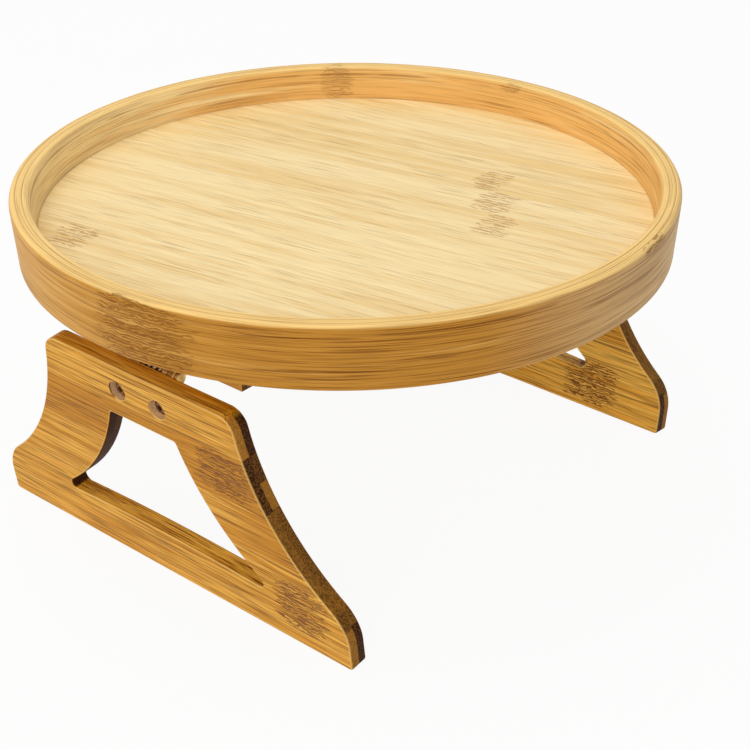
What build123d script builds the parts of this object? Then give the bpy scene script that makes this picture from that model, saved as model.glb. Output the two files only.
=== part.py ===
from build123d import *
import os
from math import cos, pi, radians, sin, sqrt

# Sofa arm tray: a round bamboo tray on two sprung wings that grip the arm of a sofa.
# X runs across the arm from wing to wing, Y runs along the arm and +Z is up.
# The origin is on the ground under the middle of the tray. Lengths are millimetres, angles degrees.

# The tray
overall_height = 128.0      # ground to the top of the rim
tray_radius = 125.0
rim_taper = 1.4             # how far the bands of the rim lean in at their foot
band_thickness = 2.45       # one bent band of the rim, which has three
well_depth = 13.7           # top of the rim down to the floor
wall_lean = 1.6             # how far the inside of the rim leans in at the floor
floor_thickness = 5.0
floor_step = 1.5            # the floor's edge is cut down this far, and the wall's inner band stands on it
foot_band_height = 5.4      # rim below the floor
rim_ease = 2.0              # rounding of the rim's two upper edges
foot_ease = 1.2             # rounding of the rim's lower outer edge
glue_line = 0.05            # gap that glue fills between curved pieces

# One wing: a board of two plies, cut to a waisted outline with a four-sided window
pinch_angle = 6.7           # how far the wing leans in at its foot when at rest
ply_thickness = 3.75
wing_half = 89.3            # half the length of the lower edge
head_half = 46.8            # half the length of the upper edge
heel_height = 18.5          # where the hollow curve of the end meets the heel
waist_depth = 9.6           # how far that curve bows in from a straight line
heel_radius = 17.0
toe_radius = 1.4            # lower corners
shoulder_radius = 7.0       # upper corners
arm_width = 35.0            # wood left between the end curve and the window
foot_bar = 17.0             # wood left below the window's lower corners
sill_crown = 1.8            # how far the window's lower edge bows up in the middle
head_bar = 21.9             # wood left above the window
window_low_radius = 2.5     # lower corners of the window
window_top_radius = 1.0     # upper corners of the window
wing_ease = 0.8             # rounding of the board's edges

# One rail under the tray
rail_length = 78.0
rail_width = 20.0
rail_height = 18.9
rail_setback = 2.4          # hinge axis inwards to the rail's outer face
rail_ease = 0.6

# One sprung hinge
hinge_setback = 23.85       # edge of the tray inwards to the hinge axis
axis_drop = 3.6             # wing's top edge down to the axis, along the board
pin_radius = 1.5
running_clearance = 0.05    # pin to knuckle, all round
leaf_thickness = 2.0
leaf_stand = 0.3            # keeps the knuckles clear of the wood
leaf_end = 6.0              # middle of a fastener to the end of its leaf, along the hinge
knuckle_length = 2.4
leaf_edge = 6.5             # middle of a leaf screw to the leaf's far edge
leaf_joint = 0.5            # overlap where a knuckle's strip is fused to its leaf
knuckle_gap = 0.3           # between neighbouring knuckles
notch_gap = 0.85            # from the other leaf's knuckle to this leaf
pin_head_lip = 0.9
pin_head_height = 0.9

# Its torsion spring
spring_wire = 1.7
spring_whole_turns = 3
spring_coil_gap = 0.8       # between one turn and the next
spring_leg = 9.5
spring_clearance = 0.2      # round the pin
spring_end_gap = 0.65       # spring to the knuckle beside it
leg_slot_clearance = 0.3    # round the leg, in the leaf

# Fasteners
bolt_spacing = 20.0
bolt_radius = 1.5
bolt_head_radius = 3.2
bolt_head_height = 1.2
bolt_socket_width = 2.0
bolt_socket_depth = 0.8
bolt_hole_clearance = 0.1
bolt_end = 0.4              # bolt past its nut
counterbore_clearance = 0.55
counterbore_depth = 2.7
counterbore_bevel = 0.4
nut_width = 5.5             # across the flats
nut_height = 2.4
nut_bevel = 0.5
nut_gap = 0.6               # nut to the knuckles
screw_radius = 1.4
screw_head_radius = 2.8
screw_head_height = 1.5
screw_length = 14.0
screw_tip = 3.0             # length of a wood screw's point
screw_fit = 0.05            # round a screw in its hole
leaf_screw_margin = 1.3     # screw head to the leaf's notch
rail_screw_inset = 10.0     # from each end of the rail
rail_screw_recess = 5.0     # depth of the hole that takes the head
screw_cover = 1.4           # floor left above a rail screw's point
overrun = 1.0               # cutting tools past the faces that they cut

# Levels of the tray
rim_top = overall_height
floor_top = rim_top - well_depth
floor_bottom = floor_top - floor_thickness
rim_bottom = floor_bottom - foot_band_height
step_top = floor_top - floor_step
lip_ease = min(rim_ease, band_thickness - 2 * glue_line)

# The spring's turns, from the fixed leaf round to the leaning moving leaf
lean = radians(pinch_angle)
spring_turns = spring_whole_turns + (90 + pinch_angle) / 360
spring_pitch = spring_wire + spring_coil_gap
spring_half = spring_pitch * spring_turns / 2
spring_radius = pin_radius + spring_clearance + spring_wire / 2
spring_room = spring_half + spring_wire / 2 + spring_end_gap

# The knuckles and leaves, measured from the hinge axis
knuckle_radius = pin_radius + running_clearance + leaf_thickness
leaf_back = max(knuckle_radius, spring_radius + spring_wire / 2) + leaf_stand
notch_depth = knuckle_radius + notch_gap
leaf_screw_inset = notch_depth + screw_head_radius + leaf_screw_margin
leaf_width = leaf_screw_inset + leaf_edge
bolt_inset = knuckle_radius + nut_gap + nut_width / 2
leaf_length = bolt_spacing + 2 * leaf_end
moving_knuckle_end = spring_room + knuckle_length
knuckles_end = moving_knuckle_end + knuckle_gap + knuckle_length

# The hinge axis hangs under the tray, and the wing reaches from it down to the ground
board_thickness = 2 * ply_thickness
axis_depth = board_thickness + leaf_back
rail_bottom = floor_bottom - rail_height
axis_x = tray_radius - hinge_setback
axis_z = rail_bottom - leaf_back
rail_outer_x = axis_x - rail_setback
foot_lift = wing_ease * (1 - cos(lean) - sin(lean))     # lays the rounded lower edge on the ground
axis_height = (axis_z - foot_lift - axis_depth * sin(lean)) / cos(lean)
foot_x = axis_x - axis_height * sin(lean) + axis_depth * cos(lean)
wing_height = axis_height + axis_drop
bolt_height = axis_height - bolt_inset

# The circle of the wing's hollow end curve, from the upper edge's corner to the heel's
curve_across = wing_half - head_half
curve_down = wing_height - heel_height
chord = sqrt(curve_across ** 2 + curve_down ** 2)
waist_radius = (chord ** 2 / 4 + waist_depth ** 2) / (2 * waist_depth)
centre_share = (waist_radius - waist_depth) / chord
waist_centre_y = (wing_half + head_half) / 2 + curve_down * centre_share
waist_centre_height = (wing_height + heel_height) / 2 + curve_across * centre_share

wing_frame = Plane(
    origin=(foot_x, 0, foot_lift),
    x_dir=(0, 1, 0),
    z_dir=(cos(lean), 0, -sin(lean)),
)
fixed_frame = Pos(axis_x, 0, axis_z)
moving_frame = fixed_frame * Rot(0, 90 + pinch_angle, 0) * Rot(0, 0, 180)


def round_corners(sketch, corners):
    """Round the named corners, given as (x, y, radius), of a flat face."""
    for x, y, radius in corners:
        corner = sketch.vertices().sort_by_distance((x, y, 0))[0]
        sketch = fillet(corner, radius)
    return sketch


def turned(points, corners=()):
    """A ring or pin turned from a half section, given as (radius, height) points."""
    section = make_face(Polyline(*points, close=True))
    section = round_corners(section, corners)
    return revolve(Plane.XZ * section, Axis.Z)


def block(x, y, z):
    """A box from its three (low, high) pairs."""
    low = (x[0], y[0], z[0])
    return Pos(*low) * Box(x[1] - x[0], y[1] - y[0], z[1] - z[0], align=(Align.MIN, Align.MIN, Align.MIN))


def upright(radius, height):
    """A round bar that stands on height 0."""
    return Cylinder(radius, height, align=(Align.CENTER, Align.CENTER, Align.MIN))


def along_y(radius, start, end):
    """A round bar along Y between two places."""
    return Pos(0, start, 0) * Rot(-90, 0, 0) * upright(radius, end - start)


# The tray's floor and the bent bands of its rim, which lean in a little at their foot

def wall_radius(bands, height, gap=0):
    """Radius, at a height, of the wall's outside or of the face that lies some bands inside it."""
    lean_in = rim_taper * (rim_top - height) / (rim_top - rim_bottom)
    return tray_radius - bands * band_thickness - gap - lean_in


def inside_radius(height):
    """Radius of the rim's inner face."""
    return wall_radius(3, rim_top) - wall_lean * (rim_top - height) / well_depth


def make_floor_panel():
    panel = turned([
        (0, floor_bottom),
        (wall_radius(2, floor_bottom, glue_line), floor_bottom),
        (wall_radius(2, step_top, glue_line), step_top),
        (inside_radius(floor_top) - glue_line, step_top),
        (inside_radius(floor_top) - glue_line, floor_top),
        (0, floor_top),
    ])
    for x, y in rail_screw_places():
        for side in (-1, 1):
            panel -= Pos(side * x, y, floor_bottom - overrun) * upright(
                screw_radius + screw_fit,
                overrun + floor_thickness - screw_cover + screw_fit,
            )
    return panel


def make_rim_outer_band():
    foot = (wall_radius(0, rim_bottom), rim_bottom)
    lip = (wall_radius(0, rim_top), rim_top)
    points = [(wall_radius(1, rim_bottom), rim_bottom), foot, lip, (wall_radius(1, rim_top), rim_top)]
    return turned(points, [(*foot, min(foot_ease, lip_ease)), (*lip, lip_ease)])


def make_rim_middle_band():
    return turned([
        (wall_radius(2, rim_bottom), rim_bottom),
        (wall_radius(1, rim_bottom, glue_line), rim_bottom),
        (wall_radius(1, rim_top, glue_line), rim_top),
        (wall_radius(2, rim_top), rim_top),
    ])


def make_rim_inner_band():
    lip = (inside_radius(rim_top), rim_top)
    points = [
        (inside_radius(floor_top), floor_top),
        (inside_radius(floor_top), step_top),
        (wall_radius(2, step_top, glue_line), step_top),
        (wall_radius(2, rim_top, glue_line), rim_top),
        lip,
    ]
    return turned(points, [(*lip, lip_ease)])


def make_rim_foot_band():
    return turned([
        (wall_radius(3, rim_bottom), rim_bottom),
        (wall_radius(2, rim_bottom, glue_line), rim_bottom),
        (wall_radius(2, floor_bottom, glue_line), floor_bottom),
        (wall_radius(3, floor_bottom), floor_bottom),
    ])


# The rail that carries the hinge, drawn on the +X side

def rail_screw_places():
    half = rail_length / 2 - rail_screw_inset
    return [(rail_outer_x - rail_width / 2, end * half) for end in (-1, 1)]


def leaf_screw_places():
    half = bolt_spacing / 2
    return [(axis_x - leaf_screw_inset, end * half) for end in (-1, 1)]


def make_rail():
    rail = block(
        (rail_outer_x - rail_width, rail_outer_x),
        (-rail_length / 2, rail_length / 2),
        (rail_bottom, floor_bottom),
    )
    rail = fillet(rail.faces().sort_by(Axis.Z)[0].edges(), rail_ease)
    for x, y in rail_screw_places():
        foot = Pos(x, y, rail_bottom - overrun)
        rail -= foot * upright(screw_radius + screw_fit, rail_height + 2 * overrun)
        rail -= foot * upright(screw_head_radius + 2 * screw_fit, rail_screw_recess + overrun)
    depth = screw_length - leaf_thickness + screw_fit
    for x, y in leaf_screw_places():
        rail -= Pos(x, y, rail_bottom - overrun) * upright(screw_radius + screw_fit, depth + overrun)
    return rail


def make_pan_screw(length):
    """A pan head wood screw, point up, with its head's upper face at height 0."""
    rim = screw_head_height / 3
    return turned([
        (0, -screw_head_height),
        (screw_head_radius - rim, -screw_head_height),
        (screw_head_radius, -screw_head_height + rim),
        (screw_head_radius, 0),
        (screw_radius, 0),
        (screw_radius, length - screw_tip),
        (0, length),
    ])


def make_flat_screw():
    """A countersunk wood screw, point up, with its flat head at height 0."""
    return turned([
        (0, 0),
        (screw_head_radius, 0),
        (screw_radius, screw_head_height),
        (screw_radius, screw_length - screw_tip),
        (0, screw_length),
    ])


def make_rail_screws():
    seat = rail_bottom + rail_screw_recess
    screw = make_pan_screw(floor_top - screw_cover - seat)
    return Compound(children=[Pos(x, y, seat) * screw for x, y in rail_screw_places()])


def make_leaf_screws():
    screw = make_flat_screw()
    level = rail_bottom - leaf_thickness
    return Compound(children=[Pos(x, y, level) * screw for x, y in leaf_screw_places()])


# The hinge, drawn round its axis: the fixed leaf lies above it and runs inwards

def make_leaf(knuckles):
    """A leaf above the axis that runs towards -X, with knuckles between pairs of places along Y."""
    half = leaf_length / 2
    thick = (leaf_back - leaf_thickness, leaf_back)
    leaf = block((-leaf_width, -notch_depth), (-half, half), thick)
    leaf = fillet(leaf.edges().filter_by(Axis.Z).group_by(Axis.X)[0], leaf_thickness)
    for start, end in knuckles:
        leaf += block((-notch_depth - leaf_joint, 0), (start, end), thick)
        leaf += along_y(knuckle_radius, start, end)
    leaf -= along_y(pin_radius + running_clearance, -half - overrun, half + overrun)
    slot = spring_wire / 2 + leg_slot_clearance
    leaf -= block(
        (-spring_leg - leg_slot_clearance, -notch_depth + overrun),
        (spring_half - slot, spring_half + slot),
        (leaf_back - leaf_thickness - overrun, leaf_back + overrun),
    )
    return leaf


def both_ends(start, end):
    """The same stretch of the hinge at its two ends."""
    return [(-end, -start), (start, end)]


def make_fixed_leaf():
    leaf = make_leaf(both_ends(moving_knuckle_end + knuckle_gap, knuckles_end))
    for y in (-bolt_spacing / 2, bolt_spacing / 2):
        leaf -= Pos(-leaf_screw_inset, y, leaf_back - leaf_thickness) * turned([
            (0, -overrun),
            (screw_head_radius + screw_fit, -overrun),
            (screw_head_radius + screw_fit, 0),
            (screw_radius + screw_fit, screw_head_height),
            (screw_radius + screw_fit, leaf_thickness + overrun),
            (0, leaf_thickness + overrun),
        ])
    return fixed_frame * leaf


def make_moving_leaf():
    leaf = make_leaf(both_ends(spring_room, moving_knuckle_end))
    for y in (-bolt_spacing / 2, bolt_spacing / 2):
        leaf -= Pos(-bolt_inset, y, 0) * upright(bolt_radius + bolt_hole_clearance, leaf_back + overrun)
    return moving_frame * leaf


def make_hinge_pin():
    pin = along_y(pin_radius, -knuckles_end, knuckles_end)
    for start, end in both_ends(knuckles_end, knuckles_end + pin_head_height):
        head = along_y(pin_radius + pin_head_lip, start, end)
        outer = head.edges().filter_by(GeomType.CIRCLE).sort_by(Axis.Y)
        head = chamfer(outer[0] if start < 0 else outer[-1], pin_head_height / 2)
        pin += head
    return fixed_frame * pin


# The torsion spring: a leg in the fixed leaf, whole turns and a part turn, a leg in the moving leaf

def biarc(start, start_direction, end, end_direction):
    """Two arcs that leave one point and reach another in the given directions."""
    across = end - start
    both = start_direction + end_direction
    bend = 2 * (1 - start_direction.dot(end_direction))
    along = 2 * across.dot(both)
    reach = (sqrt(along ** 2 + 4 * bend * across.dot(across)) - along) / (2 * bend)
    middle = (start + end + (start_direction - end_direction) * reach) * 0.5
    turn = (end - end_direction * reach - start - start_direction * reach).normalized()
    return [
        Edge.make_tangent_arc(start, start_direction, middle),
        Edge.make_tangent_arc(middle, turn, end),
    ]


def make_spring_path():
    sweep_angle = 2 * pi * spring_turns
    steps = round(4 * spring_turns)
    climb = spring_pitch / (2 * pi * spring_radius)
    places = []
    for step in range(steps + 1):
        angle = pi / 2 - sweep_angle * step / steps
        y = spring_half - 2 * spring_half * step / steps
        slope = 0 if step in (0, steps) else climb
        place = Vector(spring_radius * cos(angle), y, spring_radius * sin(angle))
        places.append((place, Vector(sin(angle), -slope, -cos(angle)).normalized()))
    first, first_direction = places[0]
    last, last_direction = places[-1]
    edges = [Edge.make_line(first - first_direction * spring_leg, first)]
    for (start, start_direction), (end, end_direction) in zip(places, places[1:]):
        edges += biarc(start, start_direction, end, end_direction)
    edges.append(Edge.make_line(last, last + last_direction * spring_leg))
    return edges


def least_gap(edges):
    """The smallest space between one turn of the wire and another, measured on points."""
    points = []
    travelled = 0
    for edge in edges:
        count = max(2, round(edge.length / spring_wire * 6))
        for step in range(count):
            points.append((travelled + edge.length * step / count, edge.position_at(step / count)))
        travelled += edge.length
    half_turn = pi * spring_radius
    gaps = [
        (here - there).length - spring_wire
        for i, (place, here) in enumerate(points)
        for other, there in points[i + 1:]
        if other - place > half_turn
    ]
    return min(gaps)


def make_spring():
    edges = make_spring_path()
    print(f"torsion spring: {spring_turns:.2f} turns, least gap to itself {least_gap(edges):.2f} mm")
    start = edges[0].position_at(0)
    section = Plane(origin=start, z_dir=edges[0].tangent_at(0)) * Circle(spring_wire / 2)
    return fixed_frame * sweep(section, path=Wire(edges))


# The wing, drawn flat as (along the arm, up the board) with its outer face upwards at height 0

def waist_cut(inset):
    """The two hollow end curves, moved towards the middle by the inset."""
    centre = waist_centre_y - inset
    return [Pos(side * centre, waist_centre_height) * Circle(waist_radius) for side in (-1, 1)]


def curve_y(height, inset):
    """Where the hollow curve stands at a height up the board."""
    return waist_centre_y - inset - sqrt(waist_radius ** 2 - (waist_centre_height - height) ** 2)


def on_both_ends(corners):
    return [(side * y, height, radius) for side in (-1, 1) for y, height, radius in corners]


def make_wing_outline():
    outline = Pos(0, wing_height / 2) * Rectangle(2 * wing_half, wing_height)
    for hollow in waist_cut(0):
        outline -= hollow
    outline = round_corners(outline, on_both_ends([
        (wing_half, heel_height, heel_radius),
        (wing_half, 0, toe_radius),
        (head_half, wing_height, shoulder_radius),
    ]))
    return outline - make_window()


def make_window():
    """The opening between the two bars and the two arms, which follow the hollow end curves."""
    top = wing_height - head_bar
    reach = waist_centre_y - arm_width
    sill_half = curve_y(foot_bar, arm_width)
    sill_radius = (sill_half ** 2 + sill_crown ** 2) / (2 * sill_crown)
    low = foot_bar - sill_crown
    window = Pos(0, (low + top) / 2) * Rectangle(2 * reach, top - low)
    window -= Pos(0, foot_bar + sill_crown - sill_radius) * Circle(sill_radius)
    for hollow in waist_cut(arm_width):
        window -= hollow
    return round_corners(window, on_both_ends([
        (sill_half, foot_bar, window_low_radius),
        (curve_y(top, arm_width), top, window_top_radius),
    ]))


def bolt_places():
    return [(side * bolt_spacing / 2, bolt_height) for side in (-1, 1)]


def make_ply(outer_depth, eased_face):
    """One ply of the board, with the edges of one face eased and the bolt holes through it."""
    ply = Pos(0, 0, -outer_depth - ply_thickness) * extrude(make_wing_outline(), ply_thickness)
    ply = fillet(ply.faces().sort_by(Axis.Z)[eased_face].edges(), wing_ease)
    for x, y in bolt_places():
        hole = upright(bolt_radius + bolt_hole_clearance, ply_thickness + 2 * overrun)
        ply -= Pos(x, y, -outer_depth - ply_thickness - overrun) * hole
    return ply


def make_wing_outer_ply():
    ply = make_ply(0, -1)
    bore_radius = bolt_head_radius + counterbore_clearance
    bore = turned([
        (0, overrun),
        (bore_radius + counterbore_bevel + overrun, overrun),
        (bore_radius, -counterbore_bevel),
        (bore_radius, -counterbore_depth),
        (0, -counterbore_depth),
    ])
    for x, y in bolt_places():
        ply -= Pos(x, y, 0) * bore
    return wing_frame * ply


def make_wing_inner_ply():
    return wing_frame * make_ply(ply_thickness, 0)


def make_bolt():
    """A low head bolt with a hexagon socket, head up, with the seat under its head at height 0."""
    length = board_thickness - counterbore_depth + leaf_thickness + nut_height + bolt_end
    rim = bolt_head_height / 3
    crown = bolt_head_radius - bolt_head_height
    bolt = turned([
        (0, -length),
        (bolt_radius, -length),
        (bolt_radius, 0),
        (bolt_head_radius, 0),
        (bolt_head_radius, rim),
        (crown, bolt_head_height),
        (0, bolt_head_height),
    ], [(bolt_head_radius, rim, rim)])
    hexagon = RegularPolygon(bolt_socket_width / 2, 6, major_radius=False)
    socket = extrude(hexagon, bolt_socket_depth + overrun)
    return bolt - Pos(0, 0, bolt_head_height - bolt_socket_depth) * socket


def make_nut():
    """A hexagon nut with one flat towards the hinge, standing on height 0."""
    hexagon = extrude(RegularPolygon(nut_width / 2, 6, major_radius=False), nut_height)
    corner = nut_width / sqrt(3)
    bevelled = turned([
        (bolt_radius + screw_fit, 0),
        (corner, 0),
        (corner, nut_height - nut_bevel),
        (nut_width / 2, nut_height),
        (bolt_radius + screw_fit, nut_height),
    ])
    return hexagon & bevelled


def make_wing_bolts():
    bolt = make_bolt()
    return wing_frame * Compound(children=[Pos(x, y, -counterbore_depth) * bolt for x, y in bolt_places()])


def make_wing_nuts():
    nut = Rot(180, 0, 0) * make_nut()
    depth = board_thickness + leaf_thickness
    return wing_frame * Compound(children=[Pos(x, y, -depth) * nut for x, y in bolt_places()])


# The whole tray: the middle pieces, then each side's set, the left one turned half way round Z

def save(name, shape):
    export_step(shape, f"parts/{name}.step")


os.makedirs("parts", exist_ok=True)

middle_pieces = {
    "floor_panel": make_floor_panel,
    "rim_outer_band": make_rim_outer_band,
    "rim_middle_band": make_rim_middle_band,
    "rim_inner_band": make_rim_inner_band,
    "rim_foot_band": make_rim_foot_band,
}
side_pieces = {
    "hinge_rail": make_rail,
    "rail_screws": make_rail_screws,
    "fixed_leaf": make_fixed_leaf,
    "leaf_screws": make_leaf_screws,
    "hinge_pin": make_hinge_pin,
    "torsion_spring": make_spring,
    "moving_leaf": make_moving_leaf,
    "wing_outer_ply": make_wing_outer_ply,
    "wing_inner_ply": make_wing_inner_ply,
    "wing_bolts": make_wing_bolts,
    "wing_nuts": make_wing_nuts,
}

for name, make in middle_pieces.items():
    save(name, make())
for name, make in side_pieces.items():
    piece = make()
    save(f"{name}_right", piece)
    save(f"{name}_left", Rot(0, 0, 180) * piece)
print(f"hinge axis at x {axis_x:.3f}, z {axis_z:.3f}; floor at z {floor_top:.2f}")
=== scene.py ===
from math import cos, radians, sin, tan

import bmesh
import bpy
from mathutils import Color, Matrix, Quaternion, Vector


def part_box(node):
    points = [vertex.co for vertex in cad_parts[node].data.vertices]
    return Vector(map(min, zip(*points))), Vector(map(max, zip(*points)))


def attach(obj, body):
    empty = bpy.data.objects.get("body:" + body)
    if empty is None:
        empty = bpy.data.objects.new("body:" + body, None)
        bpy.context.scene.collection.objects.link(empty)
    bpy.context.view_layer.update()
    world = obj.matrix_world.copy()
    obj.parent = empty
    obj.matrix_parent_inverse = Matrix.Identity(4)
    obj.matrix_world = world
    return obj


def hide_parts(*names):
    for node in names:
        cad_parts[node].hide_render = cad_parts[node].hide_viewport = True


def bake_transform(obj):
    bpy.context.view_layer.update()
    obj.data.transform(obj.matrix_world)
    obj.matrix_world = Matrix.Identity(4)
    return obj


# A round bamboo tray that stands astride the arm of a sofa on two sprung wings.
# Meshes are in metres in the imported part's frame. Shader coordinates and the sizes below are in
# millimetres. The colours of wood and metal are written as they show in daylight, from 0 to 255.

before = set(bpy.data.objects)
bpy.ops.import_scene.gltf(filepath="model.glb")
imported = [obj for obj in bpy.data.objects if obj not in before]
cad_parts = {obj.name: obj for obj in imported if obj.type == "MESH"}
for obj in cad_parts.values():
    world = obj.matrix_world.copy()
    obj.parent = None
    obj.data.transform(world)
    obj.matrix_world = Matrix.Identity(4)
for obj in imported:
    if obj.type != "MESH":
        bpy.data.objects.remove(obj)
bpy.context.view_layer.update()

# The floor panel
# A round board glued up from pale bamboo strips, planed flat and lacquered. The strips run along the arm
# at a slight turn. Four of them show a joint of the cane as broken strokes, three of these side by side.

metre = 1000.0
full_turn = radians(360)
brightest = 255
floor_turn = radians(9.5)
floor_strip_width = 18.7
floor_strip_shift = 1.0
floor_pale = (255, 231, 175)
floor_golden = (245, 212, 145)
floor_brown = (166, 126, 62)
floor_stroke_brown = (170, 112, 38)
# Each joint of the cane by its place along and across the strips, and by half its length and width
floor_joints = [(38, 47.8, 6.5, 9.4), (48, 29.1, 7.5, 9.4), (58, 10.4, 7, 9.4), (-72, -74, 8.5, 9)]
floor_stroke_spacing = 2.1
# Length and width of each pattern in the grain
floor_hairs = (20.0, 0.42)
floor_clouds = (90.0, 5.0)
floor_streaks = (70.0, 11.0)
floor_lines = (24.0, 0.65)
joint_fringe = (9.0, 1.8)
stroke_bend = (5.0, 2.4)
stroke_size = (4.5, 0.9)
# How finely the noise of each is broken up, and how rough that of the clouds is
hair_detail = 1.0
line_detail = 2.0
cloud_detail = 3.0
cloud_break = 0.6
fringe_reach = 2.4
stroke_sway = 4.0
strip_jump = 61.0
# Where each pattern starts and where it is full, the last, the painted shade at the foot of the wall, in
# millimetres from the tray's middle
joint_edge_limits = (0.0, 1.3)
stroke_limits = (0.52, 0.64)
stroke_fade_limits = (0.0, 0.5)
floor_tone_limits = (0.34, 0.68)
floor_streak_limits = (0.4, 0.62)
floor_line_limits = (0.54, 0.68)
floor_hair_limits = (0.46, 0.66)
floor_seam_limits = (0.003, 0.012)
floor_corner_shade_limits = (115.1, 115.9)
# How squarely a joint ends along the strip and across it
joint_end_power = 2.0
joint_side_power = 8.0
# What the ripple and the stain add to the noise that makes the strokes
ripple_share = 0.18
stain_pull_share = 0.06
# The middle of what runs from 0 to 1, such as noise
middle = 0.5
# Shares of the second colour
strip_difference_share = 0.16
floor_line_share = 0.1
floor_streak_share = 0.36
floor_hair_share = 0.16
floor_seam_share = 0.16
floor_corner_shade_share = 0.45
floor_stroke_share = 0.52
floor_stain_share = 0.03
# Heights in the relief, as shares of its depth
hair_rise_share = 0.5
line_depth_share = 0.6
seam_depth_share = 0.4
floor_stroke_depth_share = 0.9
floor_relief = 0.08
floor_roughness = 0.4
hair_roughness = 0.16
floor_gloss = 0.28


class Shade:
    """An output of a shader node. Arithmetic on it adds Math nodes, and node() adds any other node."""

    def __init__(self, tree, output=None):
        self.tree = tree
        self.output = output

    def node(self, kind, settings, *values, out=None, **named):
        """Sets a new node up, fills its inputs in order or by name, and gives one of its outputs."""
        made = self.tree.nodes.new("ShaderNode" + kind)
        for name, value in settings.items():
            if name == "stops":
                lay_stops(made.color_ramp, value)
            else:
                setattr(made, name, value)
        inputs = list(zip([socket for socket in made.inputs if socket.enabled], values))
        inputs += [(made.inputs[name.replace("_", " ")], value) for name, value in named.items()]
        for socket, value in inputs:
            if isinstance(value, Shade):
                self.tree.links.new(value.output, socket)
            else:
                socket.default_value = value
        found = made.outputs[out] if out else next((o for o in made.outputs if o.enabled), None)
        return Shade(self.tree, found)

    def math(self, operation, *values):
        return self.node("Math", {"operation": operation}, *values)

    def __add__(self, other):
        return self.math("ADD", self, other)

    def __sub__(self, other):
        return self.math("SUBTRACT", self, other)

    def __rsub__(self, other):
        return self.math("SUBTRACT", other, self)

    def __mul__(self, other):
        return self.math("MULTIPLY", self, other)

    def __truediv__(self, other):
        return self.math("DIVIDE", self, other)

    def __pow__(self, power):
        return self.math("POWER", self, power)

    def __abs__(self):
        return self.math("ABSOLUTE", self)

    __radd__ = __add__
    __rmul__ = __mul__


def lay_stops(ramp, stops):
    """Steps of one colour each, from the places given."""
    ramp.interpolation = "CONSTANT"
    while len(ramp.elements) < len(stops):
        ramp.elements.new(1)
    for element, (place, colour) in zip(ramp.elements, stops):
        element.position = place
        element.color = colour


def daylight(colour):
    """A colour from 0 to 255, as the renderer's linear light."""
    return (*Color([value / brightest for value in colour]).from_srgb_to_scene_linear(), 1)


def start_finish(name):
    material = bpy.data.materials.new(name)
    material.use_nodes = True
    material.node_tree.nodes.clear()
    return material, Shade(material.node_tree)


def point_on(start):
    """The place on the piece, in millimetres across the arm, along it and up."""
    place = start.node("TexCoord", {}, out="Object")
    return [start.node("SeparateXYZ", {}, place, out=axis) * metre for axis in "XYZ"]


def facing(start):
    """Which way the surface looks, in the same three directions."""
    normal = start.node("TexCoord", {}, out="Normal")
    return [start.node("SeparateXYZ", {}, normal, out=axis) for axis in "XYZ"]


def smooth(value, low, high):
    """Goes from 0 at low to 1 at high."""
    return value.node("MapRange", {"interpolation_type": "SMOOTHSTEP"}, value, low, high, 0.0, 1.0)


def blend(share, first, second):
    """Mixes two colours, each a link or written from 0 to 255."""
    first, second = [c if isinstance(c, Shade) else daylight(c) for c in (first, second)]
    return share.node("Mix", {"data_type": "RGBA"}, share, first, second)


def straight_fibres(along, across, depth):
    """Gives a maker of noise that is drawn out along straight strips. Each shift gives another pattern."""
    def fibres(length, width, shift=0.0, **more):
        place = along.node("CombineXYZ", {}, along / length + shift, across / width, depth / width)
        return along.node("TexNoise", {}, place, Scale=1.0, **more)
    return fibres


def strip_of(across, width, shift):
    """The number of the strip at a place, and how far that place is from a seam, in strip widths."""
    counted = (across - shift) / width
    number = across.math("FLOOR", counted)
    return number, middle - abs(counted - number - middle)


def cane_joints(along, across, fibres, joints, spacing):
    """The joints of the cane: a stain where each lies, and broken wavy strokes that thin out round it."""
    fringe = (fibres(*joint_fringe, shift=7.0, Detail=line_detail) - middle) * fringe_reach
    stain = None
    for x, y, half_length, half_width in joints:
        to_end = ((along - x) / half_length) ** joint_end_power
        to_side = ((across - y) / half_width) ** joint_side_power
        patch = 1 - smooth(to_end + to_side + fringe, *joint_edge_limits)
        stain = patch if stain is None else stain.math("MAXIMUM", stain, patch)
    bent = across + (fibres(*stroke_bend, shift=3.0) - middle) * stroke_sway
    ripple = stain.math("SINE", bent * (full_turn / spacing))
    broken = fibres(*stroke_size, shift=11.0, Detail=line_detail)
    strokes = smooth(ripple * ripple_share + broken + stain * stain_pull_share, *stroke_limits)
    return stain, strokes * smooth(stain, *stroke_fade_limits)


def lay_finish(material, start, colour, roughness, height, relief, **fixed):
    """Joins a finish's colour, roughness and fine relief in one shader, with what is fixed all over."""
    normal = start.node("Bump", {}, Strength=1.0, Distance=relief / metre, Height=height)
    looks = {"Base_Color": colour, "Roughness": roughness, "Normal": normal}
    start.node("OutputMaterial", {}, start.node("BsdfPrincipled", {}, **looks, **fixed))
    return material


def dress(material, *names):
    for name in names:
        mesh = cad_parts[name].data
        mesh.materials.clear()
        mesh.materials.append(material)


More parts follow.
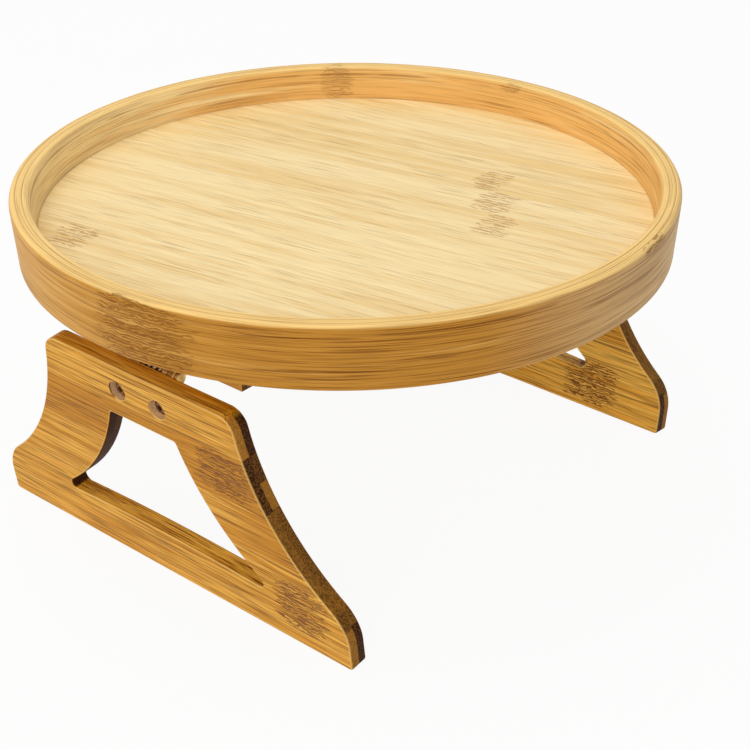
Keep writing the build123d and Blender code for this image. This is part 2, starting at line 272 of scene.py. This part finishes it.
def make_floor_bamboo():
    material, start = start_finish("floor_bamboo")
    x, y, z = point_on(start)
    along = x * sin(floor_turn) - y * cos(floor_turn)
    across = x * cos(floor_turn) + y * sin(floor_turn)
    strip, from_seam = strip_of(across, floor_strip_width, floor_strip_shift)
    fibres = straight_fibres(along + strip * strip_jump, across, z)
    hairs = fibres(*floor_hairs, Detail=hair_detail)
    clouds = fibres(*floor_clouds, Detail=cloud_detail, Roughness=cloud_break)
    streaks = smooth(fibres(*floor_streaks, shift=8.0, Detail=line_detail), *floor_streak_limits)
    lines = smooth(fibres(*floor_lines, shift=2.0, Detail=line_detail), *floor_line_limits)
    across_seams = straight_fibres(along, across, z)
    stain, strokes = cane_joints(along, across, across_seams, floor_joints, floor_stroke_spacing)
    seam = 1 - smooth(from_seam, *floor_seam_limits)
    strip_tone = start.node("TexWhiteNoise", {"noise_dimensions": "1D"}, strip) - middle
    # Painted shade: the floor darkens in a thin ring where it meets the foot of the rim's wall.
    corner_shade = smooth(start.math("SQRT", x * x + y * y), *floor_corner_shade_limits)
    golden = smooth(clouds + strip_tone * strip_difference_share, *floor_tone_limits)
    dark_grain = lines * (streaks * floor_streak_share + floor_line_share)
    dark_grain += smooth(hairs, *floor_hair_limits) * floor_hair_share
    seams_and_corner_shade = seam * floor_seam_share + corner_shade * floor_corner_shade_share
    colour = blend(golden, floor_pale, floor_golden)
    colour = blend(dark_grain, colour, floor_brown)
    colour = blend(seams_and_corner_shade, colour, floor_brown)
    colour = blend(strokes * floor_stroke_share + stain * floor_stain_share, colour, floor_stroke_brown)
    height = hairs * hair_rise_share - lines * line_depth_share - seam * seam_depth_share
    height -= strokes * floor_stroke_depth_share
    roughness = floor_roughness + hairs * hair_roughness
    return lay_finish(
        material, start, colour, roughness, height, floor_relief, Specular_IOR_Level=floor_gloss
    )


dress(make_floor_bamboo(), "floor_panel")

# The rim
# Three thin bamboo bands bent round the floor and glued one on another, rounded along the two upper
# edges, and a narrow band under the floor. The cane's fibres run round the tray.
# Each band is turned from the CAD's own section in fine steps, so that its outline is truly round.

tray_radius = 125.0
rim_taper = 1.4
band_thickness = 2.45
glue_line = 0.05
wall_lean = 1.6
lip_ease = 2.0
foot_ease = 1.2
ring_steps = 720
ease_steps = 6
ring_sharp_angle = radians(40)
rim_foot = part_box("rim_outer_band")[0].z * metre
rim_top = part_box("rim_outer_band")[1].z * metre
wall_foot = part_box("rim_inner_band")[0].z * metre
floor_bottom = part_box("floor_panel")[0].z * metre
floor_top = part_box("floor_panel")[1].z * metre
rim_golden = (227, 171, 84)
rim_amber_and_shade = (196, 136, 47)
rim_brown = (126, 72, 2)
rim_top_highlight = (255, 216, 138)
rim_sheen_tan = (240, 216, 168)
wall_orange = (242, 190, 112)
wall_tan_and_light = (255, 228, 168)
# Each side of the tray by its angle, and by how squarely a place faces it where it starts and is full
# The first side gets painted shade on the front of the outer bands, and the second painted light on the
# left of the inner wall.
front_shade_side = (radians(225), 0.2, 0.95)
left_light_side = (radians(150), -0.3, 0.6)
calm_side = (radians(150), 0.3, 0.95)
# This side of the rim's outside gets a painted sheen, paler and with less grain.
sheen_side = (radians(285), 0.7, 1.0)
# Each joint of the cane by its angle, its height above the rim's foot, and half its length and width
outside_joints = [(-171.5, 11, 20, 13), (-81, 22.5, 9, 1.8)]
inside_joints = [(43, 17.2, 7, 7.2), (4, 22, 5, 2)]
stroke_spacing = 1.15
# A broken dark line runs below the upper edge, at this height above the foot
edge_line_height = 20.9
edge_line_wander = 2.0
# Length and width of each pattern in the grain
rim_hairs = (28.0, 0.42)
rim_clouds = (75.0, 2.6)
rim_lines = (40.0, 0.6)
edge_line_breaks = (30.0, 30.0)
# Where each pattern starts and where it is full
rim_tone_limits = (0.36, 0.66)
rim_line_limits = (0.545, 0.64)
rim_hair_limits = (0.46, 0.64)
edge_break_limits = (0.4, 0.55)
edge_line_limits = (0.15, 0.55)
glue_limits = (0.05, 0.16)
near_side_limits = (0.0, 1.0)
outside_limits = (0.2, 0.6)
top_limits = (0.3, 0.8)
# Shares of the other colour
side_light_share = 0.3
rim_sheen_share = 0.4
rim_top_highlight_share = 0.9
rim_line_share = 0.5
rim_hair_share = 0.32
edge_line_share = 0.5
glue_share = 0.28
rim_stroke_share = 0.42
wood_stain_share = 0.12
# How much of the grain is lost on the top, on the side with the painted sheen and on the calm side
top_loss_share = 0.5
sheen_loss_share = 0.3
calm_loss_share = 0.55
glue_depth_share = 0.5
wood_relief = 0.1
wood_roughness = 0.42
rim_gloss = 0.16


def band_edge(bands, height, gap=0.0):
    """Radius, at a height, of the face that lies some bands inside the rim's outer face."""
    inwards = rim_taper * (rim_top - height) / (rim_top - rim_foot)
    return tray_radius - bands * band_thickness - gap - inwards


def round_section(corners):
    """The points of a section whose corners are given as (radius, height, rounding)."""
    points = []
    for i, (radius, height, rounding) in enumerate(corners):
        corner = Vector((radius, height))
        if not rounding:
            points.append(corner)
            continue
        neighbours = [Vector(corners[j % len(corners)][:2]) for j in (i - 1, i + 1)]
        back, ahead = [(neighbour - corner).normalized() for neighbour in neighbours]
        half = back.angle(ahead) / 2
        centre = corner + (back + ahead).normalized() * (rounding / sin(half))
        start, end = [corner + way * (rounding / tan(half)) - centre for way in (back, ahead)]
        ways = [start.slerp(end, step / ease_steps).normalized() for step in range(ease_steps + 1)]
        points += [centre + way * rounding for way in ways]
    return points


def turn_ring(name, corners):
    section = round_section(corners)
    count = len(section)
    places = []
    faces = []
    for step in range(ring_steps):
        turn = full_turn * step / ring_steps
        here = step * count
        there = (step + 1) % ring_steps * count
        for i, (radius, height) in enumerate(section):
            after = (i + 1) % count
            places.append((radius * cos(turn) / metre, radius * sin(turn) / metre, height / metre))
            faces.append((here + i, there + i, there + after, here + after))
    mesh = bpy.data.meshes.new(name)
    mesh.from_pydata(places, [], faces)
    mesh.shade_smooth()
    mesh.set_sharp_from_angle(angle=ring_sharp_angle)
    ring = bpy.data.objects.new(name, mesh)
    bpy.context.scene.collection.objects.link(ring)
    return ring


rim_sections = {
    "rim_outer_band": [
        (band_edge(1, rim_foot), rim_foot, 0),
        (band_edge(0, rim_foot), rim_foot, foot_ease),
        (band_edge(0, rim_top), rim_top, lip_ease),
        (band_edge(1, rim_top), rim_top, 0),
    ],
    "rim_middle_band": [
        (band_edge(2, rim_foot), rim_foot, 0),
        (band_edge(1, rim_foot, glue_line), rim_foot, 0),
        (band_edge(1, rim_top, glue_line), rim_top, 0),
        (band_edge(2, rim_top), rim_top, 0),
    ],
    "rim_inner_band": [
        (band_edge(3, rim_top) - wall_lean, wall_foot, 0),
        (band_edge(2, wall_foot, glue_line), wall_foot, 0),
        (band_edge(2, rim_top, glue_line), rim_top, 0),
        (band_edge(3, rim_top), rim_top, lip_ease),
        (band_edge(3, rim_top) - wall_lean, floor_top, 0),
    ],
    "rim_foot_band": [
        (band_edge(3, rim_foot), rim_foot, 0),
        (band_edge(2, rim_foot, glue_line), rim_foot, 0),
        (band_edge(2, floor_bottom, glue_line), floor_bottom, 0),
        (band_edge(3, floor_bottom), floor_bottom, 0),
    ],
}


def bent_fibres(x, y, z, radius):
    """Gives a maker of noise that is drawn out round the tray, and changes with height and with depth."""
    def fibres(length, width, shift=0.0, **more):
        place = x.node("CombineXYZ", {}, x / length + shift, y / length, z / width)
        return x.node("TexNoise", {"noise_dimensions": "4D"}, place, radius / width, Scale=1.0, **more)
    return fibres


def joints_round(x, y, height, fibres, joints):
    """The joints of a bent band, each drawn on a flat that faces its angle, and only on that side."""
    stain, strokes = None, None
    for angle, level, half_length, half_width in joints:
        turn = radians(angle)
        along = y * cos(turn) - x * sin(turn)
        near_side = smooth(x * cos(turn) + y * sin(turn), *near_side_limits)
        joint = [(0, level, half_length, half_width)]
        found = cane_joints(along, height, fibres, joint, stroke_spacing)
        patch, marks = [share * near_side for share in found]
        stain = patch if stain is None else stain.math("MAXIMUM", stain, patch)
        strokes = marks if strokes is None else strokes.math("MAXIMUM", strokes, marks)
    return stain, strokes


def on_side(x, y, radius, side):
    """How much a place on the rim belongs to a side of the tray."""
    angle, start, full = side
    return smooth((x * cos(angle) + y * sin(angle)) / radius, start, full)


def make_rim_bamboo(name, plain, other, painted_side, joints, contrast, seed):
    material, start = start_finish(name)
    x, y, z = point_on(start)
    radius = start.math("SQRT", x * x + y * y)
    height = z - rim_foot
    fibres = bent_fibres(x, y, z + seed, radius)
    hairs = fibres(*rim_hairs, Detail=hair_detail)
    clouds = fibres(*rim_clouds, shift=4.0, Detail=cloud_detail, Roughness=cloud_break)
    lines = smooth(fibres(*rim_lines, shift=2.0, Detail=line_detail), *rim_line_limits)
    stain, strokes = joints_round(x, y, height, fibres, joints)
    from_edge_line = abs(height - edge_line_height + (clouds - middle) * edge_line_wander)
    unbroken = smooth(fibres(*edge_line_breaks, shift=6.0), *edge_break_limits)
    edge_line = (1 - smooth(from_edge_line, *edge_line_limits)) * unbroken
    in_band = (tray_radius - radius) / band_thickness
    glue = 1 - smooth(abs(in_band - start.math("ROUND", in_band)), *glue_limits)
    face_x, face_y, face_z = facing(start)
    top = smooth(face_z, *top_limits)
    outside = smooth((x * face_x + y * face_y) / radius, *outside_limits)
    sheen = outside * on_side(x, y, radius, sheen_side)
    calm = outside * on_side(x, y, radius, calm_side)
    # Painted light and shade by side: the outer bands are darker on the front, the inner wall paler on its
    # left.
    side_light_tone = (on_side(x, y, radius, painted_side) - middle) * side_light_share
    grain = lines * rim_line_share + smooth(hairs, *rim_hair_limits) * rim_hair_share
    grain *= contrast
    grain *= 1 - top * top_loss_share
    grain *= (1 - sheen * sheen_loss_share) * (1 - calm * calm_loss_share)
    colour = blend(smooth(clouds + side_light_tone, *rim_tone_limits), plain, other)
    # Painted sheen on the right of the rim's outside.
    colour = blend(sheen * rim_sheen_share, colour, rim_sheen_tan)
    # Painted highlight: where it faces up, the top is painted pale.
    colour = blend(top * rim_top_highlight_share, colour, rim_top_highlight)
    colour = blend(grain, colour, rim_brown)
    colour = blend(edge_line * edge_line_share + glue * top * glue_share, colour, rim_brown)
    dark_joints = strokes * (contrast * rim_stroke_share) + stain * wood_stain_share
    colour = blend(dark_joints, colour, rim_brown)
    relief = hairs * hair_rise_share - lines * line_depth_share - strokes
    relief -= glue * top * glue_depth_share
    roughness = wood_roughness + hairs * hair_roughness
    return lay_finish(
        material, start, colour, roughness, relief, wood_relief, Specular_IOR_Level=rim_gloss
    )


for name, plain, other, painted_side, joints, contrast, seed in (
    ("rim_outer_band", rim_golden, rim_amber_and_shade, front_shade_side, outside_joints, 1.35, 0.0),
    ("rim_middle_band", rim_golden, rim_amber_and_shade, front_shade_side, inside_joints, 0.8, 40.0),
    ("rim_inner_band", wall_orange, wall_tan_and_light, left_light_side, inside_joints, 0.6, 80.0),
    ("rim_foot_band", rim_golden, rim_amber_and_shade, front_shade_side, outside_joints, 1.0, 120.0),
):
    ring = turn_ring(name.replace("band", "ring"), rim_sections[name])
    bamboo = make_rim_bamboo(f"{name}_bamboo", plain, other, painted_side, joints, contrast, seed)
    ring.data.materials.append(bamboo)
    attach(ring, "tray")
    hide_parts(name)

# The rails
# A bamboo block under each side of the floor, planed square with eased edges and screwed up into it. It
# carries the hinge, and shows dark end grain where it is sawn off.

rail_golden = (222, 166, 78)
rail_tan = (196, 138, 50)
rail_brown = (118, 62, 0)
end_dark = (46, 14, 0)
end_light = (188, 130, 50)
rail_strip_height = 6.3
rail_strip_jump = 47.0
# Length and width of each pattern in the grain
rail_hairs = (24.0, 0.5)
rail_clouds = (70.0, 3.2)
rail_lines = (34.0, 0.8)
rail_speckle = (24.0, 0.7)
# Where each pattern starts and where it is full
rail_tone_limits = (0.36, 0.66)
rail_line_limits = (0.55, 0.7)
rail_hair_limits = (0.5, 0.7)
rail_speckle_limits = (0.4, 0.62)
rail_seam_limits = (0.012, 0.04)
end_limits = (0.3, 0.75)
# Shares of the other colour
rail_line_share = 0.5
rail_hair_share = 0.2
rail_seam_share = 0.2
rail_speckle_share = 0.5
rail_line_depth_share = 0.5
sawn_gloss = 0.1


def make_rail_bamboo():
    material, start = start_finish("rail_bamboo")
    x, y, z = point_on(start)
    strip, from_seam = strip_of(z, rail_strip_height, 0.0)
    fibres = straight_fibres(y + strip * rail_strip_jump, x, z)
    hairs = fibres(*rail_hairs, Detail=hair_detail)
    clouds = fibres(*rail_clouds, shift=4.0, Detail=cloud_detail, Roughness=cloud_break)
    lines = smooth(fibres(*rail_lines, shift=2.0, Detail=line_detail), *rail_line_limits)
    speckle = smooth(fibres(*rail_speckle, shift=9.0, Detail=line_detail), *rail_speckle_limits)
    seam = 1 - smooth(from_seam, *rail_seam_limits)
    dark_grain = lines * rail_line_share + smooth(hairs, *rail_hair_limits) * rail_hair_share
    dark_grain += seam * rail_seam_share
    face_x, face_y, face_z = facing(start)
    end = smooth(abs(face_y), *end_limits)
    end_colour = blend(speckle * rail_speckle_share, end_dark, end_light)
    colour = blend(smooth(clouds, *rail_tone_limits), rail_golden, rail_tan)
    colour = blend(dark_grain, colour, rail_brown)
    colour = blend(end, colour, end_colour)
    relief = hairs * hair_rise_share - lines * rail_line_depth_share - seam * seam_depth_share
    roughness = wood_roughness + hairs * hair_roughness
    return lay_finish(
        material, start, colour, roughness, relief, wood_relief, Specular_IOR_Level=sawn_gloss
    )


dress(make_rail_bamboo(), "hinge_rail_right", "hinge_rail_left")

# The wings
# Two plies of bamboo strips glued face to face, sawn to a waisted outline with a four-sided window, and
# rounded along their edges. The cut ends show the strips' dark end grain as blocks, each ply its own.

wing_lean = radians(6.7)
board_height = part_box("wing_outer_ply_right")[1].z * metre / cos(wing_lean)
foot_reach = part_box("wing_outer_ply_right")[1].x * metre - board_height * sin(wing_lean)
wing_strip_width = 20.0
wing_strip_shift = 13.6
near_pale = (250, 188, 76)
near_golden = (212, 140, 20)
# The far wing's colours are painted paler, as painted light on its face, which lies in the tray's shade.
far_lit_pale = (255, 202, 90)
far_lit_golden = (250, 180, 58)
wing_brown = (116, 54, 0)
wing_edge_highlight = (248, 204, 122)
bore_lit_tan = (240, 202, 156)
bore_radius = 4.4
bore_blur = 0.2
bolt_half_spacing = 10.0
bolt_height = 79.0
# Each joint of the cane by its place along and up the board, and by half its length and width
near_joints = [(-39, 63.6, 13, 9.8), (-68, 17, 12, 11)]
far_joints = [(-54, 12, 13, 10), (30, 82, 9, 9), (64, 23.6, 11, 9.8)]
# Each strip or end grain block by its lower edge up the board, and its share of the second tone
near_strips = [(0, 0.2), (13.6, 0.3), (33.6, 0.35), (53.6, 0.9), (73.6, 0.22)]
far_strips = [(0, 0.3), (13.6, 0.1), (33.6, 0.4), (53.6, 0.2), (73.6, 0.1)]
outer_blocks = [(0, 0.8), (16.4, 0.3), (27.8, 0.5), (53.5, 0.1), (73.5, 0.95)]
# The inner ply's last block, from 73.1 up, is the tray's shadow painted on the cut end, not a block of end
# grain.
inner_blocks = [(0, 0.0), (17.5, 0.36), (53.9, 0.8), (63.3, 0.2), (73.1, 0.0)]
# Length and width of each pattern in the grain
wing_hairs = (22.0, 0.42)
wing_clouds = (70.0, 2.4)
wing_lines = (32.0, 0.6)
wing_speckle = (24.0, 0.6)
# Where each pattern starts and where it is full
wing_tone_limits = (0.36, 0.62)
wing_line_limits = (0.535, 0.63)
wing_hair_limits = (0.46, 0.62)
wing_speckle_limits = (0.4, 0.6)
wing_seam_limits = (0.004, 0.014)
bore_depth_limits = (0.1, 0.4)
# The same for how a face looks: the eased edge between the flat face and the sawn one, which gets a
# painted highlight, and the window's wall that faces the front, which gets painted shade
ease_start_limits = (0.3, 0.6)
ease_end_limits = (0.9, 0.995)
window_shade_face_limits = (0.2, 0.5)
# The same along and up the board, for the painted shade on the front leg and on that wall of the window
leg_shade_along_limits = (-30.0, -80.0)
leg_shade_up_limits = (28.0, 42.0)
window_shade_along_limits = (-15.0, 5.0)
# Shares of the other colour
strip_tone_share = 0.34
leg_shade_share = 0.24
plain_tone_share = 0.12
wing_shade_share = 0.35
wing_line_share = 0.56
shaded_line_share = 0.5
wing_hair_share = 0.4
wing_seam_share = 0.35
wing_stroke_share = 0.92
wing_stain_share = 0.1
block_share = 0.8
block_speckle_share = 0.3
block_dark_share = 0.12
window_shade_share = 0.85
wing_edge_highlight_share = 0.75
end_highlight_loss_share = 0.3
bore_light_share = 0.9
bore_speckle_share = 0.3
end_roughness = 0.15


def wing_places(start, side):
    """The place along the board, up it and through it from its outer face."""
    x, y, z = point_on(start)
    out = x * side - foot_reach
    up = out * sin(wing_lean) + z * cos(wing_lean)
    depth = z * sin(wing_lean) - out * cos(wing_lean)
    return y, up, depth


def share_by_height(up, blocks):
    """The share that a row of strips or blocks gives at a height up the board."""
    stops = [(low / board_height, (share, share, share, 1)) for low, share in blocks]
    row = up.node("ValToRGB", {"stops": stops}, up / board_height)
    return up.node("SeparateXYZ", {}, row, out="X")


def make_wing_bamboo(name, side, plain, other, joints, blocks, strips, seed):
    material, start = start_finish(name)
    along, up, depth = wing_places(start, side)
    strip, from_seam = strip_of(up, wing_strip_width, wing_strip_shift)
    fibres = straight_fibres(along + strip * strip_jump + seed, up, depth)
    hairs = fibres(*wing_hairs, Detail=hair_detail)
    clouds = fibres(*wing_clouds, shift=4.0, Detail=cloud_detail, Roughness=cloud_break)
    lines = smooth(fibres(*wing_lines, shift=2.0, Detail=line_detail), *wing_line_limits)
    speckle = smooth(fibres(*wing_speckle, shift=9.0, Detail=line_detail), *wing_speckle_limits)
    across_seams = straight_fibres(along + seed, up, depth)
    stain, strokes = cane_joints(along, up, across_seams, joints, stroke_spacing)
    seam = 1 - smooth(from_seam, *wing_seam_limits)
    face_x, face_y, face_z = facing(start)
    squarely = abs(face_x * cos(wing_lean) + face_z * (side * sin(wing_lean)))
    end = smooth(abs(face_y), *end_limits)
    eased_edge = smooth(squarely, *ease_start_limits) * (1 - smooth(squarely, *ease_end_limits))
    # Painted shade on the window's wall that faces the front: its end grain is darkened there.
    window_wall_shade = smooth(along, *window_shade_along_limits) * smooth(0 - face_y, *window_shade_face_limits)
    beside_bolt = abs(along) - bolt_half_spacing
    above_bolt = up - bolt_height
    from_bolt = start.math("SQRT", beside_bolt * beside_bolt + above_bolt * above_bolt)
    in_bore = 1 - smooth(from_bolt, bore_radius, bore_radius + bore_blur)
    in_bore *= smooth(abs(depth), *bore_depth_limits)
    # Painted shade: the front leg is darker towards its end.
    front_leg_shade = smooth(along, *leg_shade_along_limits) * smooth(up, *leg_shade_up_limits)
    shaded = share_by_height(up, strips) * strip_tone_share + front_leg_shade * leg_shade_share
    colour = blend(smooth(clouds + shaded - plain_tone_share, *wing_tone_limits), plain, other)
    colour = blend(shaded * wing_shade_share, colour, wing_brown)
    dark_grain = lines * (shaded * shaded_line_share + wing_line_share)
    dark_grain += smooth(hairs, *wing_hair_limits) * wing_hair_share
    colour = blend(dark_grain, colour, wing_brown)
    colour = blend(seam * wing_seam_share, colour, wing_brown)
    colour = blend(strokes * wing_stroke_share + stain * wing_stain_share, colour, wing_brown)
    by_block = share_by_height(up, blocks) * block_share
    light_end = by_block + speckle * block_speckle_share - block_dark_share
    light_end *= 1 - window_wall_shade * window_shade_share
    colour = blend(end, colour, blend(light_end, end_dark, end_light))
    # Painted highlight along the eased edges, weaker on the sawn ends and left off in the window.
    edge_highlight = eased_edge * (wing_edge_highlight_share - end * end_highlight_loss_share) * (1 - window_wall_shade)
    colour = blend(edge_highlight, colour, wing_edge_highlight)
    # Painted light: inside the counterbore the wood is painted pale tan in place of dark end grain.
    colour = blend(in_bore * (bore_light_share - speckle * bore_speckle_share), colour, bore_lit_tan)
    relief = hairs * hair_rise_share - lines * line_depth_share - strokes - seam * seam_depth_share
    roughness = wood_roughness + hairs * hair_roughness + end * end_roughness
    return lay_finish(
        material, start, colour, roughness, relief, wood_relief, Specular_IOR_Level=sawn_gloss
    )


for side, hand, plain, other, joints, strips in (
    (-1, "left", near_pale, near_golden, near_joints, near_strips),
    (1, "right", far_lit_pale, far_lit_golden, far_joints, far_strips),
):
    for ply, blocks, seed in (("outer", outer_blocks, 7.0), ("inner", inner_blocks, 19.0)):
        name = f"wing_{ply}_bamboo_{hand}"
        bamboo = make_wing_bamboo(name, side, plain, other, joints, blocks, strips, seed * side)
        dress(bamboo, f"wing_{ply}_ply_{hand}")

# The hinges
# Leaves stamped from steel strip with their knuckles rolled round the pin, then brass plated. The pin is
# turned bar, and its heads keep it in. The plating has a faint brushed grain and cloudy patches.

brass = (214, 174, 104)
brass_dull = (170, 130, 70)
brass_roughness = 0.28
leaf_brush_length = 9.0
brush_width = 0.16
cloud_size = 2.6
cloud_limits = (0.35, 0.7)
cloud_roughness = 0.14
brush_roughness = 0.08
plating_relief = 0.01


def make_plated_steel(name, bright, dull, brush_length, roughness):
    material, start = start_finish(name)
    x, y, z = point_on(start)
    drawn_out = straight_fibres(y, x, z)
    brushed = drawn_out(brush_length, brush_width, Detail=line_detail)
    cloud = drawn_out(cloud_size, cloud_size, shift=5.0, Detail=cloud_detail)
    colour = blend(smooth(cloud, *cloud_limits), bright, dull)
    uneven = roughness + cloud * cloud_roughness + brushed * brush_roughness
    return lay_finish(material, start, colour, uneven, brushed, plating_relief, Metallic=1.0)


hinge_steel = make_plated_steel("hinge_steel", brass, brass_dull, leaf_brush_length, brass_roughness)
for hand in ("right", "left"):
    dress(hinge_steel, f"fixed_leaf_{hand}", f"moving_leaf_{hand}", f"hinge_pin_{hand}")

# The springs
# Hard drawn steel wire wound round the pin between the knuckles, tempered to a bronze brown. One straight
# leg stays with the fixed leaf and the other turns with the wing, so the turns between them are wound up.

wire_bronze = (168, 138, 98)
wire_brown = (118, 90, 58)
wire_roughness = 0.26
wire_brush_length = 1.2
spring_steel = make_plated_steel(
    "spring_steel", wire_bronze, wire_brown, wire_brush_length, wire_roughness
)


def wind_spring(hand):
    """Replaces a spring by a copy of its own mesh, with the spring finish."""
    node = f"torsion_spring_{hand}"
    spring = bpy.data.objects.new(f"wound_spring_{hand}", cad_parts[node].data.copy())
    bpy.context.scene.collection.objects.link(spring)
    spring.data.materials.clear()
    spring.data.materials.append(spring_steel)
    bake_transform(spring)
    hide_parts(node)


wind_spring("right")
wind_spring("left")

# The screws
# Wood screws with a yellow zinc finish: two countersunk ones hold each fixed leaf to its rail, and two
# long ones with pan heads, sunk in the rail, hold it to the floor.

zinc_yellow = (206, 178, 112)
zinc_dull = (168, 138, 78)
zinc_roughness = 0.26
screw_brush_length = 1.5
screw_steel = make_plated_steel(
    "screw_steel", zinc_yellow, zinc_dull, screw_brush_length, zinc_roughness
)
for hand in ("right", "left"):
    dress(screw_steel, f"leaf_screws_{hand}", f"rail_screws_{hand}")

# The bolts and nuts
# Low head bolts with a hexagon socket, sunk in the outer ply, and hexagon nuts on the moving leaf. They
# are plated in a soft bronze that matches the wood, painted darker as painted shade deep in the
# counterbores.

shade_dark_bolt_bronze = (150, 106, 70)
shade_dark_bolt_brown = (96, 62, 38)
bronze_roughness = 0.36
bolt_steel = make_plated_steel(
    "bolt_steel", shade_dark_bolt_bronze, shade_dark_bolt_brown, screw_brush_length, bronze_roughness
)
for hand in ("right", "left"):
    dress(bolt_steel, f"wing_bolts_{hand}", f"wing_nuts_{hand}")

# The stage
# A plain pale floor under the feet, which shows white and keeps the tray's soft shadow.

stage_radius = 4000
stage_segments = 96
stage_grey = (0.86, 0.86, 0.86, 1)
stage_roughness = 0.7
stage_white_share = 0.93
white = (1, 1, 1, 1)


def shows_white(start):
    """1 for rays from the camera and for those that gloss or glass sends on, and 0 for the others."""
    kinds = ("Camera", "Glossy", "Transmission")
    camera, glossy, sent_on = [start.node("LightPath", {}, out=f"Is {kind} Ray") for kind in kinds]
    return start.math("MINIMUM", camera + glossy + sent_on, 1.0)


def make_stage():
    mesh = bpy.data.meshes.new("stage_floor")
    disc = bmesh.new()
    bmesh.ops.create_circle(disc, cap_ends=True, segments=stage_segments, radius=stage_radius / metre)
    disc.to_mesh(mesh)
    disc.free()
    stage = bpy.data.objects.new("stage_floor", mesh)
    bpy.context.scene.collection.objects.link(stage)
    material, start = start_finish("stage_white")
    matt = start.node("BsdfPrincipled", {}, Base_Color=stage_grey, Roughness=stage_roughness)
    glow = start.node("Emission", {}, Color=white, Strength=1.0)
    shown = shows_white(start) * stage_white_share
    start.node("OutputMaterial", {}, start.node("MixShader", {}, shown, matt, glow))
    mesh.materials.append(material)
    return stage


make_stage()

# The light
# A broad soft lamp overhead, a second one beside the camera on the near wing's side, and a pale sky all
# round that fills the shadows.

overhead_place = (-150, 250, 1400)
overhead_aim = (0, 0, 80)
overhead_width = 1500
overhead_watts = 9.5
overhead_tint = (1.0, 0.98, 0.95)
side_place = (-1300, -500, 700)
side_aim = (0, 0, 60)
side_width = 900
side_watts = 7.0
side_tint = (1.0, 0.97, 0.93)
sky_strength = 0.42


def hang_lamp(name, place, aim, width, watts, tint):
    lamp = bpy.data.lights.new(name, "AREA")
    lamp.shape = "DISK"
    lamp.size = width / metre
    lamp.energy = watts
    lamp.color = tint
    holder = bpy.data.objects.new(name, lamp)
    holder.location = Vector(place) / metre
    holder.rotation_euler = (Vector(aim) - Vector(place)).to_track_quat("-Z", "Y").to_euler()
    bpy.context.scene.collection.objects.link(holder)


hang_lamp("overhead_lamp", overhead_place, overhead_aim, overhead_width, overhead_watts, overhead_tint)
hang_lamp("side_lamp", side_place, side_aim, side_width, side_watts, side_tint)


def make_sky():
    world = bpy.data.worlds.new("studio_sky")
    bpy.context.scene.world = world
    world.use_nodes = True
    world.node_tree.nodes.clear()
    start = Shade(world.node_tree)
    fill = start.node("Background", {}, Color=white, Strength=sky_strength)
    backdrop = start.node("Background", {}, Color=white, Strength=1.0)
    start.node("OutputWorld", {}, start.node("MixShader", {}, shows_white(start), fill, backdrop))


make_sky()

# The camera
# It stands at a corner of the near wing and looks down on the tray, as a seated person would.

camera_place = (-422.3, -370.1, 361.3)
camera_aim = (-34.3, -42.6, 70.0)
camera_tilt = radians(-0.32)
camera_lens = 76.94
camera_sensor = 36.0

camera_data = bpy.data.cameras.new("camera")
camera_data.lens = camera_lens
camera_data.sensor_width = camera_sensor
camera = bpy.data.objects.new("camera", camera_data)
camera.location = Vector(camera_place) / metre
look = Vector(camera_aim) - Vector(camera_place)
camera.rotation_euler = (look.to_track_quat("-Z", "Y") @ Quaternion((0, 0, 1), camera_tilt)).to_euler()
bpy.context.scene.collection.objects.link(camera)
bpy.context.scene.camera = camera
bpy.context.scene.view_settings.view_transform = "Standard"
